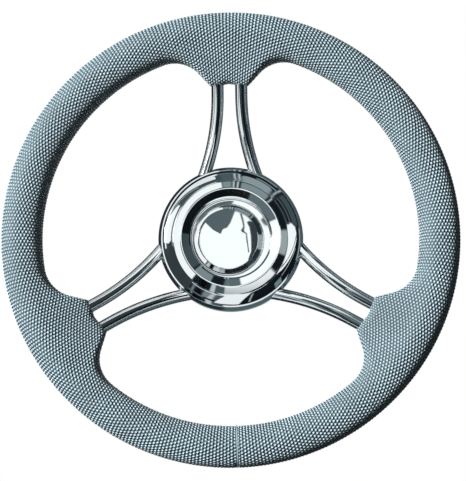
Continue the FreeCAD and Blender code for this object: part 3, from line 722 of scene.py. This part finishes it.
def plainMaterial(name, hexCode, strength=None):
    # matt, or glowing where a strength is given
    material, tree, skin = newMaterial(name)
    if strength is None:
        skin.inputs["Base Color"].default_value = linearColour(hexCode)
        skin.inputs["Roughness"].default_value = studio["floorRoughness"]
        return material
    glow = addNode(tree, "ShaderNodeEmission",
                   values={"Color": linearColour(hexCode), "Strength": strength})
    tree.links.new(glow.outputs[0], tree.nodes["Material Output"].inputs["Surface"])
    return material


def makeFloor():
    half, low = studio["floorSize"] / 2, studio["floorLevel"]
    corners = [(-half, -half, low), (half, -half, low), (half, half, low), (-half, half, low)]
    material = plainMaterial("studio floor, pale", studio["floorColour"])
    floor = meshPiece("floor", corners, [(0, 1, 2, 3)], material)
    floor.visible_glossy = floor.visible_diffuse = False


def lookingOut(around, offAxis):
    # a direction, by its angle round the line in which the hub's flat mirrors the camera, and off it
    turn, tilt = math.radians(around), math.radians(offAxis)
    out = Vector((math.sin(tilt) * math.cos(turn), -math.cos(tilt), math.sin(tilt) * math.sin(turn)))
    out.rotate(Quaternion((1, 0, 0), math.radians(photo["elevation"])))
    return out


# Panels painted on a dome round the wheel, later ones over earlier ones; only polished steel mirrors it
# each: grey level, width of its soft edge in degrees, corners as the two angles of lookingOut
panels = {
    "sideRight": (0.2, 12, [(-50, 70), (-50, 130), (90, 130), (90, 70)]),
    "sideWalls": (0.6, 4, [(-15, 84), (94, 84), (94, 93), (-15, 93)]),
    "farWalls": (0.12, 8, [(-15, 104), (95, 104), (95, 135), (-15, 135)]),
    "farLeft": (0.035, 8, [(95, 104), (345, 104), (345, 135), (95, 135)]),
    "backLow": (0.35, 16, [(0, 152), (360, 152), (360, 181), (0, 181)]),
    "backHigh": (1.0, 14, [(20, 152), (160, 152), (160, 172), (20, 172)]),
    "leftRing": (1.3, 2, [(99, 62), (99, 97), (178, 97), (182, 74), (223, 74), (223, 62)]),
    "leftLine": (0.01, 3, [(180, 77), (222, 77), (222, 86), (180, 86)]),
    "lowLine": (1.2, 2, [(226, 68), (226, 90), (262, 90), (262, 68)]),
    "lowSide": (0.15, 8, [(262, 76), (262, 122), (345, 122), (345, 76)]),
    "leftShade": (0.065, 4, [(183, 0), (183, 59), (225, 59), (225, 0)]),
    "frontHigh": (0.1, 3, [(101, 0), (101, 44), (182, 44), (182, 0)]),
    "frontDark": (0.015, 3, [(98, 51), (98, 60), (180, 60), (180, 51)]),
    "crossBar": (0.004, 2, [(232, 0), (232, 80), (240, 80), (240, 0)]),
    "crossLine": (0.5, 1.2, [(229, 4), (230.5, 60), (231.6, 60), (230.6, 4)]),
    "lowGrey": (0.12, 3, [(252, 0), (251, 68), (262, 68), (262, 0)]),
    "lowStreak": (0.75, 2, [(250, 0), (245, 50), (246, 68), (251, 68), (251, 50), (253, 0)]),
    "lowPatch": (0.3, 2, [(241, 0), (241, 45), (245, 48), (249, 0)]),
    "floorBand": (1.2, 1.5, [(262, 60.6), (262, 66), (322, 66), (330, 60.6)]),
    "rightRing": (0.5, 3, [(345, 62), (345, 70), (372, 70), (372, 62)]),
    "rightBand": (0.14, 3, [(14, 21), (14, 27), (43, 27), (43, 21)]),
    "rightHigh": (0.1, 3, [(14, 34), (14, 60), (43, 60), (43, 34)]),
    "highGrey": (0.42, 3, [(51, 0), (51, 34), (54, 40), (78, 40), (81, 34), (81, 0)]),
    "highRing": (0.36, 2, [(51, 62), (51, 72), (80, 72), (80, 62)]),
    "highLine": (0.8, 1.2, [(46.4, 4), (46.4, 68), (47.8, 68), (47.8, 4)]),
    "funnelWhite": (1.4, 2, [(102, 44), (102, 50), (200, 50), (197, 44)]),
    "funnelGrey": (0.2, 2, [(199, 44), (201, 50), (243, 50), (243, 44)]),
    "funnelBlack": (0.008, 2, [(243, 43), (243, 51), (358, 51), (358, 43)]),
    "funnelLow": (0.1, 2, [(-2, 44), (-2, 50), (42, 50), (42, 44)]),
    "funnelHigh": (0.34, 2, [(46, 44), (46, 50), (68, 50), (68, 44)]),
    "funnelDark": (0.015, 2, [(69, 44), (69, 50), (82, 50), (82, 44)]),
    "funnelTop": (0.2, 2, [(84, 44), (84, 50), (101, 50), (101, 44)]),
    "topLineLeft": (0.9, 1.5, [(86.5, 3), (86.5, 45), (88, 45), (88, 3)]),
    "topLineRight": (0.9, 1.5, [(82.5, 3), (82.5, 45), (84, 45), (84, 3)]),
    "topRingLeft": (0.9, 1.5, [(86.5, 61), (86.5, 72), (88, 72), (88, 61)]),
    "topRingRight": (0.9, 1.5, [(82.5, 61), (82.5, 72), (84, 72), (84, 61)]),
    "topGrey": (0.13, 3, [(89.5, 3), (89.5, 45), (101, 45), (101, 3)]),
    "topRing": (0.36, 3, [(89.5, 61), (89.5, 72), (98, 72), (98, 61)]),
}


def paintDome(grid):
    # the grey level at each grid point, from how far inside or outside each panel's outline it lies
    glow = np.full(len(grid), studio["domeShade"])
    for level, softness, corners in panels.values():
        for shift in (-360, 0, 360):
            ring = np.array(corners, float) + (shift, 0)
            inside = np.zeros(len(grid), bool)
            nearest = np.full(len(grid), np.inf)
            for first, last in zip(ring, np.roll(ring, -1, axis=0)):
                side = last - first
                off = grid - first
                share = np.clip(off @ side / (side @ side), 0, 1)
                nearest = np.minimum(nearest, np.linalg.norm(off - share[:, None] * side, axis=1))
                crosses = (first[1] > grid[:, 1]) != (last[1] > grid[:, 1])
                meets = first[0] + side[0] * off[:, 1] / (side[1] or 1)
                inside ^= crosses & (grid[:, 0] < meets)
            share = np.clip(0.5 + np.where(inside, nearest, -nearest) / softness, 0, 1)
            glow += (level - glow) * share * share * (3 - 2 * share)
    return glow


def hideFromAllButGloss(piece):
    piece.visible_camera = piece.visible_diffuse = piece.visible_shadow = False
    piece.visible_transmission = piece.visible_volume_scatter = False


# the darker a panel, the colder its shade: linear colours by grey level, brighter than 1 in blue
coldShades = {
    0.0: (0.62, 1.0, 1.25), 0.1: (0.7, 1.0, 1.13), 0.3: (0.8, 1.0, 1.06), 0.6: (0.92, 1.0, 1.02),
    1.0: (1.0, 1.0, 1.0),
}


def makeDome():
    step = studio["domeStep"]
    across, down = int(360 / step), int(180 / step)
    grid = [(column * step, row * step) for row in range(down + 1) for column in range(across)]
    points = [ringCentre + lookingOut(*place) * studio["domeRadius"] for place in grid]
    rows = [list(range(row * across, (row + 1) * across)) for row in range(down + 1)]
    material = plainMaterial("studio dome, painted panels", "#FFFFFF", 1.0)
    tree = material.node_tree
    level = addNode(tree, "ShaderNodeAttribute", {"attribute_name": "glow"})
    glow = next(node for node in tree.nodes if node.type == "EMISSION")
    tree.links.new(level.outputs["Fac"], glow.inputs["Strength"])
    tint = addNode(tree, "ShaderNodeValToRGB", links={0: level.outputs["Fac"]})
    for place in list(coldShades)[1:-1]:
        tint.color_ramp.elements.new(place)
    for element, colour in zip(tint.color_ramp.elements, coldShades.values()):
        element.color = (*colour, 1.0)
    tree.links.new(tint.outputs[0], glow.inputs["Color"])
    dome = meshPiece("dome", points, gridFaces(rows, False), material)
    layer = dome.data.attributes.new("glow", "FLOAT", "POINT")
    layer.data.foreach_set("value", paintDome(np.array(grid, float)))
    hideFromAllButGloss(dome)


# Cards close in front of the hub, which only its cap mirrors
# each: grey level, corners as the angle and distance in mm from the cap's middle where the cap shows them
capCards = {
    "cap": (1.4, [(angle, 23.6) for angle in range(0, 360, 10)]),
    "capPatch": (0.18, [
        (150, 7.2), (122, 8.6), (98, 8.8), (84, 12.5), (79, 18.5), (77, 25), (94, 25), (118, 25),
        (143, 25), (146, 19), (150, 14)]),
    "capCrescent": (0.07, [
        (-52, 23.2), (-30, 20.2), (-12, 18.0), (10, 17.6), (30, 18.9), (43, 19.8), (42, 22.5),
        (28, 25), (5, 25), (-20, 25), (-40, 25)]),
    "capThread": (0.1, [
        (67, 23), (52, 17.4), (40, 14.8), (34, 11.4), (26, 11.6), (15, 14.0), (3, 13.4), (-20, 15.2),
        (-36, 18.6), (-34, 19.2), (-18, 16.0), (2, 14.6), (16, 14.9), (27, 13.4), (37, 15.8),
        (50, 18.9), (62, 23)]),
}
capMirror = {"distance": 112, "apart": 1.0}  # mm in front of the cap, and from one card to the next


# Cards close to the hub's brow, too near for the rods to mirror them
# each: grey level, corners as the angle and distance in mm from the shaft where the brow shows them
browCards = {
    "browRight": (1.3, [
        (12, 44.7), (14, 47.5), (11, 49.8), (5, 50.3), (0, 49.4), (-6, 48.5), (-13, 47.5),
        (-20, 46.5), (-27, 45.4), (-31, 44.7)]),
    "browSweep": (1.3, [
        (2, 50.4), (-6, 49.7), (-13, 48.9), (-20, 48.0), (-26, 47.2), (-33, 46.3), (-42, 44.8),
        (-36, 44.7), (-27, 46.0), (-20, 46.9), (-13, 47.9), (-6, 48.9), (0, 49.8)]),
    "browShade": (0.065, [(187, 44.4), (187, 52), (207, 52), (228, 52), (228, 44.4), (207, 44.2)]),
    "browLeft": (1.3, [
        (182, 46.0), (184, 48), (181, 51.4), (167, 51.3), (157, 49.4), (147, 47.6), (147, 46.2)]),
    "browStreak": (1.1, [
        (104, 47.0), (104, 49.2), (107, 50.4), (112, 50.8), (120, 50.4), (135, 50.2), (150, 51.1),
        (160, 51.8), (150, 50.0), (135, 48.7), (120, 47.3), (110, 46.9)]),
    "browThread": (0.6, [
        (158, 50.0), (147, 48.5), (135, 47.6), (122, 46.2), (122, 46.6), (135, 47.95), (147, 48.85),
        (158, 50.3)]),
    "browLow": (1.2, [
        (264, 44.7), (262, 46), (258, 48.3), (254, 51.3), (276, 51.5), (279, 49.5), (284, 47),
        (291, 44.7)]),
    "browDash": (0.5, [(284.5, 51.2), (286.5, 51.2), (291.5, 46.2), (289.5, 46.2)]),
    "browPatch": (0.3, [(322, 48.5), (313, 48.5), (312, 51.5), (320, 51.5)]),
    "browLine": (0.6, [(352, 49.9), (337, 48.6), (323, 48.3), (323, 48.6), (337, 49.0), (352, 50.3)]),
}
browMirror = {
    "distance": 60, "apart": 0.2, "depth": 34,   # mm from the brow, between cards, and of the brow itself
    "fold": 43.9, "mmPerDegree": 0.143,          # the brow turns what it mirrors by this much from its fold
}
cardShades = {"bright": "#FFFFFF", "dark": "#D9F6FF", "brightFrom": 0.5}  # the darker cards are colder


def makeCard(name, level, points):
    shade = cardShades["bright" if level > cardShades["brightFrom"] else "dark"]
    material = plainMaterial("studio card, " + name, shade, level)
    hideFromAllButGloss(meshPiece(name, points, [tuple(range(len(points)))], material))


def makeBrowCards():
    for number, (name, (level, corners)) in enumerate(browCards.items()):
        away = browMirror["distance"] - number * browMirror["apart"]
        points = []
        for angle, reach in corners:
            offAxis = (reach - browMirror["fold"]) / browMirror["mmPerDegree"]
            onBrow = aroundShaft(angle, reach, browMirror["depth"])
            points.append(onBrow + lookingOut(angle, offAxis) * away / math.cos(math.radians(offAxis)) * mm)
        makeCard(name, level, points)


def makeCapCards():
    middle = capMiddle + Vector((0, capBox[0].y, 0))
    spread = 1 + 2 * capMirror["distance"] / capDome  # the dome shows a card this much smaller
    for number, (name, (level, corners)) in enumerate(capCards.items()):
        away = capMirror["distance"] - number * capMirror["apart"]
        centre = middle + lookingOut(0, 0) * away * mm
        points = [centre + aroundShaft(angle, reach * spread, 0) for angle, reach in corners]
        makeCard(name, level, points)


# each: angles round and off, strength, width in degrees, whether polished steel mirrors it
lamps = {
    "key": (168, 43, 7.3, 12, True),
    "rear": (165, 160, 2.6, 40, False),
    "fill": (-15, 122, 0.8, 30, False),
}


def makeLamp(name, around, offAxis, strength, width, mirrored):
    light = bpy.data.lights.new(name, "SUN")
    light.energy = strength
    light.angle = math.radians(width)
    lamp = bpy.data.objects.new(name, light)
    lamp.visible_glossy = mirrored
    out = lookingOut(around, offAxis)
    lamp.location = ringCentre + out
    lamp.rotation_mode = "QUATERNION"
    lamp.rotation_quaternion = (-out).to_track_quat("-Z", "Y")
    bpy.context.scene.collection.objects.link(lamp)


def makeWorld():
    # white where the camera, a mirror or glass sees it, and only a little light on everything else
    world = bpy.data.worlds.new("studio")
    bpy.context.scene.world = world
    world.use_nodes = True
    tree = world.node_tree
    seen = addNode(tree, "ShaderNodeLightPath")
    direct = addNode(tree, "ShaderNodeMath", {"operation": "MAXIMUM"},
                     {0: seen.outputs["Is Camera Ray"], 1: seen.outputs["Is Glossy Ray"]})
    shown = addNode(tree, "ShaderNodeMath", {"operation": "MAXIMUM"},
                    {0: direct.outputs[0], 1: seen.outputs["Is Transmission Ray"]})
    strength = addNode(tree, "ShaderNodeMapRange", links={0: shown.outputs[0]},
                       values={"To Min": studio["worldGlow"], "To Max": 1.0})
    tree.nodes["Background"].inputs["Color"].default_value = (1, 1, 1, 1)
    tree.links.new(strength.outputs[0], tree.nodes["Background"].inputs["Strength"])


makeFloor()
makeDome()
makeCapCards()
makeBrowCards()
for name, settings in lamps.items():
    makeLamp(name, *settings)
makeWorld()
bpy.context.scene.view_settings.view_transform = "Standard"
print("studio made")
